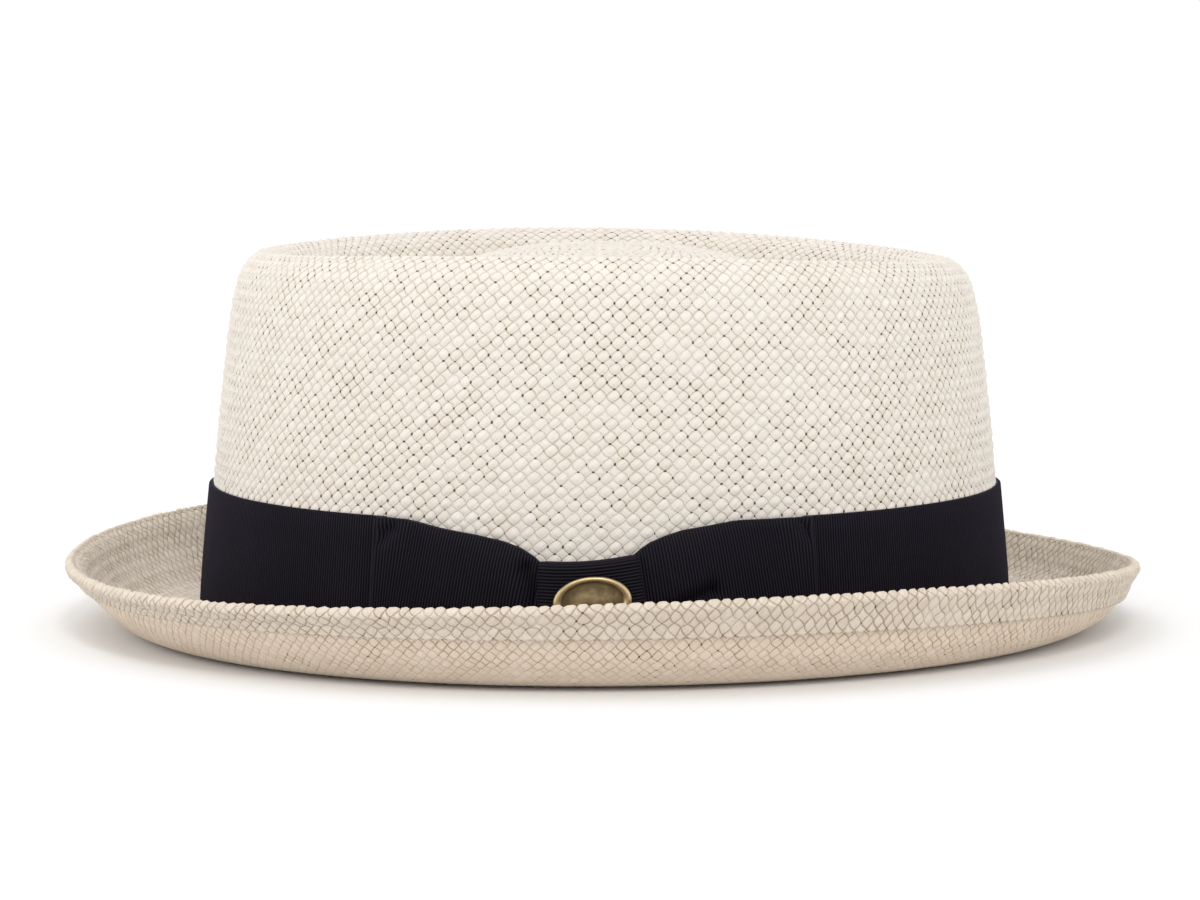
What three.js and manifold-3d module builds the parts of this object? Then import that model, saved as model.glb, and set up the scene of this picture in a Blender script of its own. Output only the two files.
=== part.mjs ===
// A porkpie hat of woven straw, in millimetres: a low crown with a telescoped tip, a narrow brim turned
// up all round, a ribbed ribbon with a flat side bow, and a small plate pinned to the bow's knot.
// +Z is up and the hat's length runs along X. The bow is on the -Y side. The origin lies under the
// middle of the brim, on the surface that the hat rests on. Angles turn from +X towards +Y.

import * as THREE from "three";
import { mergeVertices } from "three/addons/utils/BufferGeometryUtils.js";
import Module from "manifold-3d";

const { degToRad, lerp } = THREE.MathUtils;

// Straw crown
const headLength = 211.2; // outside of the crown at its foot
const headWidth = 177.8;
const crownHeight = 98; // mean height of the rim's crest
const crownLean = 15.2; // how far the wall comes in from the foot to the crest
const crownShift = 0.8; // how far the crown sits towards +X on its brim
const crownEgg = 0.04; // how much blunter the -X end is
const crestDip = 1.7; // the ends of the crest lie lower by this, its sides higher
const crestTilt = 1.1; // the +X end of the crest lies lower by this, the -X end higher
const grooveDepth = 14; // from the crest down to the groove round the tip
const domeRise = 15.5; // from the groove up to the middle of the tip
const strawWall = 1.8;

// Straw brim
const brimReachEnd = 37.1; // past the crown's foot, at the two ends
const brimReachSide = 30; // and at the two sides
const brimEgg = 0.06;
const brimRise = 19.2; // mean height of the turned-up edge
const brimDip = 1.9; // the ends of the edge lie lower by this, its sides higher
const brimTilt = 1.1; // the +X end of the edge lies lower by this, the -X end higher
const brimLift = 1; // the -Y side lies higher by this, the +Y side lower
const brimTwist = 2.4; // the edge rises between +X and -Y and opposite, and dips between the others
const brimSag = 2; // the middle of the curl hangs lower by this at the +X end, higher at the -X end
const hemWidth = 8; // of the straw that is folded back outside the edge
const hemThickness = 1.2;

// Ribbon band and bow
const ribbonFoot = 5; // height of the ribbon's lower edge
const ribbonWidth = 32.1;
const ribbonThickness = 1;
const bowAngle = degToRad(-91.6); // where the knot's middle is
const wingLengthLeft = 54; // from the knot's middle to the outer fold
const wingLengthRight = 54.5;
const wingThickness = 1.8; // two layers of ribbon
const wingPuff = 2.6; // how far the loops swell beside the knot
const bandUnderWing = 7; // how far each end of the band reaches under a wing
const knotWidth = 25;
const knotHeight = 16.8;
const knotPad = 1.2; // room for the gathered ribbon inside the knot
const knotFold = 0.6; // radius inside the knot's folds
const knotSkew = degToRad(5); // the +X side of the knot sits higher

// Plate and its post
const plateLength = 19;
const plateHeight = 12;
const plateThickness = 1.6;
const plateDrop = 2; // below the middle of the ribbon
const postRadius = 0.8;
const postLength = 3.2; // behind the plate

// Room left between pieces that touch
const clearance = 0.3;

// Fineness of the faceted surfaces
const roundSteps = 60;
const bandSteps = 54;
const gatherSteps = 2;
const wingSteps = 16;
const wingRowsUp = 8;

// The tip. reach is a share of the way from its middle to the crest, dome and rim are shares of the
// dome's rise and of the crest's height over the groove.
const domeRows = [
  { reach: 0.22, dome: 0.94 },
  { reach: 0.4, dome: 0.72 },
  { reach: 0.56, dome: 0.36 },
  { reach: 0.68, dome: 0.07 },
];
const rimRows = [
  { reach: 0.76, rim: 0 },
  { reach: 0.83, rim: 0.14 },
  { reach: 0.88, rim: 0.48 },
  { reach: 0.925, rim: 0.84 },
  { reach: 0.965, rim: 0.97 },
];

// The crown's wall, from the crest down to its foot. lean is a share of the crown's lean, rise a
// share of its height.
const wallRows = [
  { lean: 1, rise: 1 },
  { lean: 0.91, rise: 0.991 },
  { lean: 0.8, rise: 0.975 },
  { lean: 0.7, rise: 0.953 },
  { lean: 0.6, rise: 0.906 },
  { lean: 0.5, rise: 0.83 },
  { lean: 0.4, rise: 0.705 },
  { lean: 0.28, rise: 0.54 },
  { lean: 0.19, rise: 0.378 },
  { lean: 0.05, rise: 0.157 },
  { lean: 0, rise: 0.045 },
];

// The brim's upper face: the break at the crown's foot, the stretch that lies on the table and the
// curl up to the hem. reach and rise are shares of the brim's reach and of its edge's height.
const breakRows = [
  { reach: 0.015, rise: 0.075 },
  { reach: 0.05, rise: 0.022 },
  { reach: 0.11, rise: 0.003 },
];
const flatRows = [
  { reach: 0.17, rise: 0 },
  { reach: 0.23, rise: 0 },
  { reach: 0.36, rise: 0 },
  { reach: 0.4, rise: 0 },
];
const curlRows = [
  { reach: 0.4, rise: 0 },
  { reach: 0.54, rise: 0.064 },
  { reach: 0.63, rise: 0.188 },
  { reach: 0.73, rise: 0.388 },
  { reach: 0.787, rise: 0.576 },
  { reach: 0.827, rise: 0.77 },
  { reach: 0.895, rise: 0.975 },
];
const curlSteps = 4;
const hemSteps = 3;

// The wings of the bow, from the knot's side out to the fold. top and bottom are shares of the way
// from the gathered height inside the knot to the ribbon's full width, puff of the loops' swelling.
const wingRows = [
  { along: 0, topLeft: 0, topRight: 0, bottom: 0, puff: 0.4 },
  { along: 0.035, topLeft: 0.13, topRight: 0.38, bottom: 0.12, puff: 0.7 },
  { along: 0.135, topLeft: 0.42, topRight: 0.56, bottom: 0.32, puff: 1 },
  { along: 0.25, topLeft: 0.62, topRight: 0.74, bottom: 0.55, puff: 0.9 },
  { along: 0.42, topLeft: 0.77, topRight: 0.88, bottom: 0.79, puff: 0.6 },
  { along: 0.65, topLeft: 0.88, topRight: 0.97, bottom: 0.93, puff: 0.25 },
  { along: 0.83, topLeft: 0.95, topRight: 1, bottom: 1, puff: 0.05 },
  { along: 1, topLeft: 1, topRight: 1, bottom: 1, puff: 0 },
];

// Creases and the tacked corners, each a soft groove between two places on a wing. along is a share
// of the way from the knot's side to the fold, up a share of half the ribbon's width, and depth and
// width are shares of the wing's thickness and of the ribbon's width.
const creases = [
  { wing: "left", along: [0.03, 0.17], up: [0.0, 0.32], depth: 0.55, width: 0.07 },
  { wing: "left", along: [0.07, 0.5], up: [-0.5, -0.2], depth: 0.5, width: 0.08 },
  { wing: "left", along: [0.91, 0.96], up: [0.86, 0.84], depth: 0.4, width: 0.06 },
  { wing: "right", along: [0.02, 0.36], up: [-0.2, 0.25], depth: 0.65, width: 0.08 },
  { wing: "right", along: [0.93, 0.96], up: [0.88, 0.84], depth: 0.4, width: 0.06 },
];

// The plate's face, from its middle out. out is a share of its half-size, lift of its thickness.
const plateRows = [
  { out: 0.4, lift: 0.66 },
  { out: 0.74, lift: 0.58 },
  { out: 0.82, lift: 0.95 },
  { out: 0.9, lift: 1 },
  { out: 0.97, lift: 0.86 },
  { out: 1, lift: 0.5 },
  { out: 0.97, lift: 0 },
];
const plateSteps = 28;

// What follows from the sizes
const halfLength = headLength / 2;
const halfWidth = headWidth / 2;
const grooveHeight = crownHeight - grooveDepth;
const ribbonMiddle = ribbonFoot + ribbonWidth / 2;
const wingStandoff = clearance + ribbonThickness + clearance;
const knotFront = wingStandoff + wingThickness + knotPad + clearance + ribbonThickness;
const knotMouth = knotWidth / 2 + clearance; // from the knot's middle to where a wing swells

// One column of a table, read at any place along another with straight steps between its rows.
function readTable(rows, from, column, at) {
  const next = rows.findIndex((row) => row[from] >= at);
  if (next === 0) return rows[0][column];
  if (next < 0) return rows[rows.length - 1][column];
  const low = rows[next - 1];
  const high = rows[next];
  return lerp(low[column], high[column], (at - low[from]) / (high[from] - low[from]));
}

// A point of an oval that is blunter at its -X end, and is moved along X by shift.
function ovalPoint(angle, { length, width, egg, shift }, height) {
  const across = Math.sin(angle) * (1 - egg * Math.cos(angle));
  return new THREE.Vector3(length * Math.cos(angle) + shift, width * across, height);
}

// The crown's outline, moved in by inset, and the same outline drawn together to a share of itself.
function crownOval(inset, share = 1) {
  const length = (halfLength - inset) * share;
  const width = (halfWidth - inset) * share;
  return { length, width, egg: crownEgg, shift: crownShift };
}

function crestHeight(angle) {
  return crownHeight - crestTilt * Math.cos(angle) - crestDip * Math.cos(2 * angle);
}

function edgeHeight(angle) {
  const ends = brimTilt * Math.cos(angle) + brimDip * Math.cos(2 * angle);
  const sides = brimLift * Math.sin(angle) + brimTwist * Math.sin(2 * angle);
  return brimRise - ends - sides;
}

// Every row below turns an angle into a point on the straw's upper face.
function tipRow(reach, heightAt) {
  const oval = crownOval(crownLean, reach);
  return (angle) => ovalPoint(angle, oval, heightAt(angle));
}

function wallRow({ lean, rise }) {
  const oval = crownOval(crownLean * lean);
  return (angle) => {
    const height = crownHeight * rise + (crestHeight(angle) - crownHeight) * rise ** 3;
    return ovalPoint(angle, oval, height);
  };
}

// The brim's own egg shape shows only towards its edge, and its sag only between its foot and its edge.
function brimRow({ reach, rise }) {
  const oval = {
    length: halfLength + brimReachEnd * reach,
    width: halfWidth + brimReachSide * reach,
    egg: lerp(crownEgg, brimEgg, reach ** 3),
    shift: lerp(crownShift, 0, reach),
  };
  const sag = brimSag * 4 * rise * (1 - rise);
  return (angle) => {
    const height = lerp(strawWall, edgeHeight(angle), rise) - sag * Math.cos(angle);
    return ovalPoint(angle, oval, height);
  };
}

// The curl as a smooth curve, cut into even steps up to the hem and even steps along the hem.
function curledRows() {
  const knots = curlRows.map((row) => {
    return new THREE.Vector2(row.reach * brimReachSide, row.rise * brimRise);
  });
  const curve = new THREE.SplineCurve(knots);
  const hemStart = 1 - hemWidth / curve.getLength();
  const shares = [];
  for (let i = 1; i <= curlSteps; i++) shares.push((hemStart * i) / curlSteps);
  for (let i = 1; i <= hemSteps; i++) shares.push(lerp(hemStart, 1, i / hemSteps));
  return shares.map((share) => {
    const at = curve.getPointAt(share);
    return { reach: at.x / brimReachSide, rise: at.y / brimRise };
  });
}

function ring(rowAt) {
  return Array.from({ length: roundSteps }, (_, j) => rowAt((2 * Math.PI * j) / roundSteps));
}

function vertexNormal(rings, i, j) {
  const inner = rings[Math.max(i - 1, 0)][j];
  const outer = rings[Math.min(i + 1, rings.length - 1)][j];
  const before = rings[i][(j + roundSteps - 1) % roundSteps];
  const after = rings[i][(j + 1) % roundSteps];
  const outward = outer.clone().sub(inner);
  return outward.cross(after.clone().sub(before)).normalize();
}

// The rings moved into the straw, at right angles to its face.
function sunkRings(rings, depth) {
  return rings.map((points, i) => {
    return points.map((point, j) => {
      return point.clone().addScaledVector(vertexNormal(rings, i, j), -depth);
    });
  });
}

// A closed skin from a first pole through rings to a last pole.
function skin(first, rings, last) {
  const steps = rings[0].length;
  const points = [first, ...rings.flat(), last];
  const at = (i, j) => 1 + i * steps + (j % steps);
  const faces = [];
  for (let j = 0; j < steps; j++) {
    faces.push(0, at(0, j), at(0, j + 1));
    faces.push(points.length - 1, at(rings.length - 1, j + 1), at(rings.length - 1, j));
    for (let i = 0; i < rings.length - 1; i++) {
      faces.push(at(i, j), at(i + 1, j), at(i + 1, j + 1));
      faces.push(at(i, j), at(i + 1, j + 1), at(i, j + 1));
    }
  }
  return new THREE.BufferGeometry().setFromPoints(points).setIndex(faces);
}

// A closed wall between an outer and an inner grid of points, both by steps across and then up. A
// grid that wraps closes on itself in its second direction.
function wall(outer, inner, wraps = false) {
  const across = outer.length;
  const up = outer[0].length;
  const outside = (i, j) => i * up + (j % up);
  const inside = (i, j) => outside(i, j) + across * up;
  const faces = [];
  const quad = (a, b, c, d) => faces.push(a, b, c, a, c, d);
  const rows = wraps ? up : up - 1;
  for (let j = 0; j < rows; j++) {
    for (let i = 0; i < across - 1; i++) {
      quad(outside(i, j), outside(i + 1, j), outside(i + 1, j + 1), outside(i, j + 1));
      quad(inside(i, j), inside(i, j + 1), inside(i + 1, j + 1), inside(i + 1, j));
    }
    quad(outside(0, j), outside(0, j + 1), inside(0, j + 1), inside(0, j));
    const end = across - 1;
    quad(outside(end, j), inside(end, j), inside(end, j + 1), outside(end, j + 1));
  }
  for (let i = 0; i < across - 1 && !wraps; i++) {
    const top = up - 1;
    quad(outside(i, 0), inside(i, 0), inside(i + 1, 0), outside(i + 1, 0));
    quad(outside(i, top), outside(i + 1, top), inside(i + 1, top), inside(i, top));
  }
  const points = [...outer.flat(), ...inner.flat()];
  return new THREE.BufferGeometry().setFromPoints(points).setIndex(faces);
}

// The straw body: its upper face from the tip's middle to the edge, the rolled edge, the hem's outer
// face, its step, and the lower face back to the middle.
function strawBody() {
  const flatDome = (dome) => () => grooveHeight + domeRise * dome;
  const rimHeight = (rim) => (angle) => lerp(grooveHeight, crestHeight(angle), rim);
  const rows = [
    ...domeRows.map(({ reach, dome }) => tipRow(reach, flatDome(dome))),
    ...rimRows.map(({ reach, rim }) => tipRow(reach, rimHeight(rim))),
    ...wallRows.map(wallRow),
    ...breakRows.map(brimRow),
    ...flatRows.map(brimRow),
    ...curledRows().map(brimRow),
  ];
  const upper = rows.map(ring);
  const lower = sunkRings(upper, strawWall);
  const hem = sunkRings(upper, strawWall + hemThickness).slice(-hemSteps - 1);
  const edge = upper[upper.length - 1].map((point, j) => {
    const outer = hem[hemSteps][j];
    const below = upper[upper.length - 2][j];
    const upwards = point.clone().sub(below).normalize();
    const roll = (strawWall + hemThickness) / 4;
    return point.clone().lerp(outer, 0.5).addScaledVector(upwards, roll);
  });
  const underside = lower.slice(0, -hemSteps).reverse();
  const middle = new THREE.Vector3(crownShift, 0, grooveHeight + domeRise);
  const underMiddle = middle.clone().setZ(middle.z - strawWall);
  return skin(middle, [...upper, edge, ...hem.reverse(), ...underside], underMiddle);
}

// A point beside the crown's wall, at an angle, a height and a distance out of the straw.
function besideWall(angle, height, out) {
  const lean = readTable([...wallRows].reverse(), "rise", "lean", height / crownHeight);
  return ovalPoint(angle, crownOval(crownLean * lean - out), height);
}

// The angle that lies a given distance along the ribbon from the knot's middle.
function angleAlong(distance) {
  const steps = 40;
  const nudge = 0.01;
  let angle = bowAngle;
  for (let i = 0; i < steps; i++) {
    const here = besideWall(angle, ribbonMiddle, 0);
    const there = besideWall(angle + nudge, ribbonMiddle, 0);
    angle += (distance / steps / here.distanceTo(there)) * nudge;
  }
  return angle;
}

function ribbonBand() {
  const start = angleAlong(wingLengthRight - bandUnderWing);
  const end = angleAlong(bandUnderWing - wingLengthLeft) + 2 * Math.PI;
  const heights = [0, 1 / 3, 2 / 3, 1].map((share) => ribbonFoot + ribbonWidth * share);
  const grid = (out) => {
    return Array.from({ length: bandSteps + 1 }, (_, i) => {
      const angle = lerp(start, end, i / bandSteps);
      return heights.map((height) => besideWall(angle, height, out));
    });
  };
  return wall(grid(clearance + ribbonThickness), grid(clearance));
}

// How far the knot's skew lifts the bow at a distance from the knot's middle.
function skewLift(distance, wingLength) {
  return Math.tan(knotSkew) * distance * (1 - Math.abs(distance) / wingLength);
}

// How deep the creases of a wing are at one place, as a share of its thickness.
function creaseDepth(wing, length, along, up) {
  const half = ribbonWidth / 2;
  const place = new THREE.Vector3(along * length, up * half, 0);
  let depth = 0;
  for (const crease of creases.filter((one) => one.wing === wing)) {
    const from = new THREE.Vector3(crease.along[0] * length, crease.up[0] * half, 0);
    const to = new THREE.Vector3(crease.along[1] * length, crease.up[1] * half, 0);
    const near = new THREE.Line3(from, to).closestPointToPoint(place, true, new THREE.Vector3());
    const away = near.distanceTo(place) / (crease.width * ribbonWidth);
    depth = Math.max(depth, crease.depth * Math.exp(-away * away));
  }
  return depth;
}

// One line of points up a wing, at a distance from the knot's middle. Inside the knot it keeps the
// gathered height.
function wingLine(wing, side, length, distance) {
  const along = (distance - knotMouth) / (length - knotMouth);
  const topColumn = side < 0 ? "topLeft" : "topRight";
  const gathered = knotHeight / 2 - ribbonThickness - clearance;
  const reachOf = (column) => {
    return lerp(gathered, ribbonWidth / 2, readTable(wingRows, "along", column, along));
  };
  const middle = ribbonMiddle + skewLift(side * distance, length);
  const top = Math.min(middle + reachOf(topColumn), ribbonFoot + ribbonWidth);
  const bottom = Math.max(middle - reachOf("bottom"), ribbonFoot);
  const puff = readTable(wingRows, "along", "puff", along) * wingPuff;
  const angle = angleAlong(side * distance);
  const line = { outer: [], inner: [] };
  for (let j = 0; j <= wingRowsUp; j++) {
    const height = lerp(bottom, top, j / wingRowsUp);
    const bulge = 1 - ((2 * j) / wingRowsUp - 1) ** 4;
    const up = (height - ribbonMiddle) / (ribbonWidth / 2);
    const dent = along > 0 ? creaseDepth(wing, length - knotMouth, along, up) : 0;
    const out = wingStandoff + wingThickness * (1 - dent) + puff * bulge;
    line.inner.push(besideWall(angle, height, wingStandoff));
    line.outer.push(besideWall(angle, height, out));
  }
  return line;
}

// A wing runs from beside the post, inside the knot, out to its fold. side is -1 on the left and 1
// on the right.
function bowWing(wing, side, length) {
  const innerEnd = postRadius + 2 * clearance;
  const distances = [];
  for (let i = 0; i < gatherSteps; i++) {
    distances.push(lerp(innerEnd, knotMouth, i / gatherSteps));
  }
  for (let i = 0; i <= wingSteps; i++) {
    distances.push(lerp(knotMouth, length, i / wingSteps));
  }
  if (side < 0) distances.reverse();
  const lines = distances.map((distance) => wingLine(wing, side, length, distance));
  return wall(
    lines.map((line) => line.outer),
    lines.map((line) => line.inner),
  );
}

// A rectangle with round corners, from the front's lower corner upwards: how far each point is out
// of the straw and above the ribbon's middle.
function knotSection(shrink) {
  const cornerSteps = 3;
  const radius = knotFold + ribbonThickness - shrink;
  const back = clearance + shrink;
  const front = knotFront - shrink;
  const half = knotHeight / 2 - shrink;
  const points = [];
  for (let corner = 0; corner < 4; corner++) {
    const atFront = corner < 2;
    const atTop = corner === 1 || corner === 2;
    const centreOut = atFront ? front - radius : back + radius;
    const centreUp = atTop ? half - radius : radius - half;
    for (let i = 0; i <= cornerSteps; i++) {
      const turn = (Math.PI / 2) * (corner - 1 + i / cornerSteps);
      const out = centreOut + radius * Math.cos(turn);
      points.push({ out, up: centreUp + radius * Math.sin(turn) });
    }
  }
  return points;
}

function bowKnot() {
  const steps = 6;
  const grid = (shrink) => {
    return Array.from({ length: steps + 1 }, (_, i) => {
      const distance = knotWidth * (i / steps - 0.5);
      const angle = angleAlong(distance);
      const lift = ribbonMiddle + skewLift(distance, (wingLengthLeft + wingLengthRight) / 2);
      return knotSection(shrink).map(({ out, up }) => besideWall(angle, lift + up, out));
    });
  };
  return wall(grid(0), grid(ribbonThickness), true);
}

// Where the plate sits: its own x runs along the knot, its y up, and its z out of the hat. Its back
// is at z 0.
function platePlace() {
  const height = ribbonMiddle - plateDrop;
  const back = besideWall(bowAngle, height, knotFront + clearance);
  const along = besideWall(angleAlong(1), height, 0).sub(besideWall(angleAlong(-1), height, 0));
  const up = besideWall(bowAngle, height + 1, 0).sub(besideWall(bowAngle, height - 1, 0));
  along.normalize().applyAxisAngle(back.clone().setZ(0).normalize(), knotSkew);
  const out = along.clone().cross(up).normalize();
  const upright = out.clone().cross(along);
  return new THREE.Matrix4().makeBasis(along, upright, out).setPosition(back);
}

function post(radius, length) {
  const sides = 16;
  const overlap = plateThickness / 4;
  const shape = new THREE.CylinderGeometry(radius, radius, length + overlap, sides);
  return shape.rotateX(Math.PI / 2).translate(0, 0, (overlap - length) / 2);
}

function plate() {
  const rings = plateRows.map(({ out, lift }) => {
    return Array.from({ length: plateSteps }, (_, j) => {
      const angle = (2 * Math.PI * j) / plateSteps;
      const x = (plateLength / 2) * out * Math.cos(angle);
      const y = (plateHeight / 2) * out * Math.sin(angle);
      return new THREE.Vector3(x, y, plateThickness * lift);
    });
  });
  const faceMiddle = new THREE.Vector3(0, 0, plateThickness * plateRows[0].lift);
  return skin(faceMiddle, rings, new THREE.Vector3(0, 0, 0));
}

// Solids for cutting and joining
const solids = await Module();
solids.setup();

function toSolid(geometry) {
  const bare = geometry.clone();
  bare.deleteAttribute("normal");
  bare.deleteAttribute("uv");
  const merged = mergeVertices(bare);
  const vertProperties = merged.attributes.position.array;
  const triVerts = new Uint32Array(merged.index.array);
  return new solids.Manifold(new solids.Mesh({ numProp: 3, vertProperties, triVerts }));
}

function toGeometry(solid) {
  const mesh = solid.getMesh();
  const geometry = new THREE.BufferGeometry();
  geometry.setAttribute("position", new THREE.BufferAttribute(mesh.vertProperties, 3));
  return geometry.setIndex(new THREE.BufferAttribute(mesh.triVerts, 1));
}

const straw = { color: 0xece6dc, roughness: 0.7, metalness: 0 };
const ribbon = { color: 0x1e1c22, roughness: 0.75, metalness: 0 };
const brass = { color: 0x7d6a45, roughness: 0.4, metalness: 1 };

function piece(name, geometry, look) {
  geometry.computeVertexNormals();
  const mesh = new THREE.Mesh(geometry, new THREE.MeshStandardMaterial(look));
  mesh.name = name;
  return mesh;
}

const pinned = new THREE.Group();
platePlace().decompose(pinned.position, pinned.quaternion, pinned.scale);
const plateSolid = toSolid(plate()).add(toSolid(post(postRadius, postLength)));
pinned.add(piece("pin_plate", toGeometry(plateSolid), brass));

const hole = post(postRadius + clearance, postLength).applyMatrix4(platePlace());
const knot = toGeometry(toSolid(bowKnot()).subtract(toSolid(hole)));

const hat = new THREE.Group();
hat.add(piece("straw_body", strawBody(), straw));
hat.add(piece("ribbon_band", ribbonBand(), ribbon));
hat.add(piece("bow_wing_left", bowWing("left", -1, wingLengthLeft), ribbon));
hat.add(piece("bow_wing_right", bowWing("right", 1, wingLengthRight), ribbon));
hat.add(piece("bow_knot", knot, ribbon));
hat.add(pinned);

export default hat;
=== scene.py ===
# %% [markdown]
# # A woven straw porkpie hat
# The CAD model fixes the hat's shape and size. This lesson dresses it: straw with every crossing of its
# strands as real relief, a ribbed ribbon with a flat side bow, and a plain brass plate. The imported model
# is loaded first, and its box is kept, as the dressed hat has to match it.

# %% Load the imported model
import math

import bpy
import numpy as np
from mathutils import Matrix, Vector


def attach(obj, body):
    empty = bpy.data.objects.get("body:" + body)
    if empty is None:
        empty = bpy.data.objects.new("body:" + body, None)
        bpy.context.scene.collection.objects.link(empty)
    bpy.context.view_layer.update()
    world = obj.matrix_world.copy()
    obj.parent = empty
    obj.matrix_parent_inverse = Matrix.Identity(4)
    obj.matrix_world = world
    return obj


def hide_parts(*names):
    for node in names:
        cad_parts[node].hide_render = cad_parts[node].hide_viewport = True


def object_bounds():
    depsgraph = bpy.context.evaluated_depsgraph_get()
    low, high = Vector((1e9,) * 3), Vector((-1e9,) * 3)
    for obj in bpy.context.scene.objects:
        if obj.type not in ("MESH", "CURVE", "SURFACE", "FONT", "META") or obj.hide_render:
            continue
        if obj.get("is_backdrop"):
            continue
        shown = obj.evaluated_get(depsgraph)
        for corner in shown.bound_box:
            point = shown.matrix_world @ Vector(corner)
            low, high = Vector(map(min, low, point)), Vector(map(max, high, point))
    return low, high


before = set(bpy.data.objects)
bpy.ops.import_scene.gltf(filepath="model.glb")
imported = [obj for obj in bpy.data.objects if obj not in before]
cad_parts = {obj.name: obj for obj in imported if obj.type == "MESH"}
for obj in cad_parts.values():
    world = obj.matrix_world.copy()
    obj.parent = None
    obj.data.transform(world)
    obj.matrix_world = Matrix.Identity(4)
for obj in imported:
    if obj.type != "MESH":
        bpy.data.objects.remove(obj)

MM = 0.001
scene = bpy.context.scene


def print_box(name, low, high):
    print(name, "box, mm:", [round((most - least) / MM, 1) for least, most in zip(low, high)])


cad_low, cad_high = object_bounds()
print_box("CAD", cad_low, cad_high)
print("nodes:", sorted(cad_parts))

# %% [markdown]
# ## Node trees written as sums
# Materials and Geometry Nodes both need arithmetic on fields. Dozens of Math nodes placed by hand are
# hard to read, so one small class wraps a socket and lets Python's own operators add them.


# %% A socket that can be used in sums
def operator(operation):
    """A method that adds the Math node of that name."""
    return lambda wire, *others: wire.math(operation, *others)


class Wire:
    """A socket of a node tree. Sums with it add Math nodes, and add() makes any other node."""

    def __init__(self, tree, socket=None):
        self.tree = tree
        self.socket = socket

    def add(self, kind, values=None, settings=None, out=0):
        """A new node: values go into its sockets, settings into its properties."""
        node = self.tree.nodes.new(kind)
        for name, setting in (settings or {}).items():
            setattr(node, name, setting)
        for key, value in (values or {}).items():
            if isinstance(value, Wire):
                self.tree.links.new(value.socket, node.inputs[key])
            else:
                node.inputs[key].default_value = value
        return Wire(self.tree, node.outputs[out] if node.outputs else None)

    def out(self, name):
        return Wire(self.tree, self.socket.node.outputs[name])

    def math(self, operation, *others):
        values = dict(enumerate((self, *others)))
        return self.add("ShaderNodeMath", values, {"operation": operation})

    __add__ = __radd__ = operator("ADD")
    __sub__ = operator("SUBTRACT")
    __mul__ = __rmul__ = operator("MULTIPLY")
    __mod__ = operator("FLOORED_MODULO")
    __pow__ = operator("POWER")
    __abs__ = operator("ABSOLUTE")
    floor = operator("FLOOR")

    def __rsub__(self, other):
        return self.add("ShaderNodeMath", {0: other, 1: self}, {"operation": "SUBTRACT"})

    def steps(self, low, high):
        """0 below low, 1 above high and a smooth rise between them."""
        values = {"Value": self, "From Min": low, "From Max": high}
        return self.add("ShaderNodeMapRange", values, {"interpolation_type": "SMOOTHSTEP"})

    def blend(self, low, high):
        """low where this is 0, high where it is 1. Both are colours."""
        return self.add("ShaderNodeMix", {0: self, 6: low, 7: high}, {"data_type": "RGBA"}, out=2)

    def between(self, low, high):
        """low where this is 0, high where it is 1. Both are numbers."""
        return low + (high - low) * self

    def place(self, *others):
        return self.add("ShaderNodeCombineXYZ", dict(enumerate((self, *others))))

    def noise(self, scale, detail):
        """Cloudy noise, read at the place that this wire gives."""
        return self.add("ShaderNodeTexNoise", {"Vector": self, "Scale": scale, "Detail": detail})

    def chance(self, *others):
        """A random number for each set of whole numbers."""
        values = {"Vector": self.place(*others)} if others else {"W": self}
        size = {"noise_dimensions": f"{1 + len(others)}D"}
        return self.add("ShaderNodeTexWhiteNoise", values, size)


# %% [markdown]
# ## The straw's shape
# Every oval of the hat is a table row: how far out it lies and how high, as shares of the named sizes.
# The rows are the CAD model's own, and a smooth line through them gives the straw's upper face from the
# middle of the tip out to the brim's edge. Angles turn from +X towards +Y.

# %% Sizes of the straw, in millimetres
HEAD_LENGTH = 211.2
HEAD_WIDTH = 177.8
CROWN_HEIGHT = 98.0
CROWN_LEAN = 15.2
CROWN_SHIFT = 0.8
CROWN_EGG = 0.04
CREST_DIP = 1.7
CREST_TILT = 1.1
GROOVE_DEPTH = 14.0
DOME_RISE = 15.5
STRAW_WALL = 1.8
BRIM_REACH_END = 37.1
BRIM_REACH_SIDE = 30.0
BRIM_EGG = 0.06
BRIM_RISE = 19.2
BRIM_DIP = 1.9
BRIM_TILT = 1.1
BRIM_LIFT = 1.0
BRIM_TWIST = 2.4
BRIM_SAG = 2.0
HEM_WIDTH = 7.4
HEM_THICKNESS = 1.2

# Each part's rows: first how far out they lie (a reach, or on the wall a lean), then how high.
PARTS = {
    "dome": ([0, 0.22, 0.4, 0.56, 0.68], [1, 0.94, 0.72, 0.36, 0.07]),
    "rim": ([0.76, 0.83, 0.88, 0.925, 0.965], [0, 0.14, 0.48, 0.84, 0.97]),
    "wall": (
        [1, 0.91, 0.8, 0.7, 0.6, 0.5, 0.4, 0.28, 0.19, 0.05, 0],
        [1, 0.991, 0.975, 0.953, 0.906, 0.83, 0.705, 0.54, 0.378, 0.157, 0.045],
    ),
    "brim": (
        [0.015, 0.05, 0.11, 0.17, 0.23, 0.36, 0.4, 0.54, 0.63, 0.73, 0.787, 0.827, 0.895],
        [0.075, 0.022, 0.003, 0, 0, 0, 0, 0.064, 0.188, 0.388, 0.576, 0.77, 0.975],
    ),
}
ROWS = [(part, out, up) for part, (outs, ups) in PARTS.items() for out, up in zip(outs, ups)]


# %% One row of the table as points
def oval(angle, length, width, egg, shift, height):
    across = np.sin(angle) * (1 - egg * np.cos(angle))
    return np.stack([length * np.cos(angle) + shift, width * across, height + 0 * angle], axis=-1)


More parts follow.
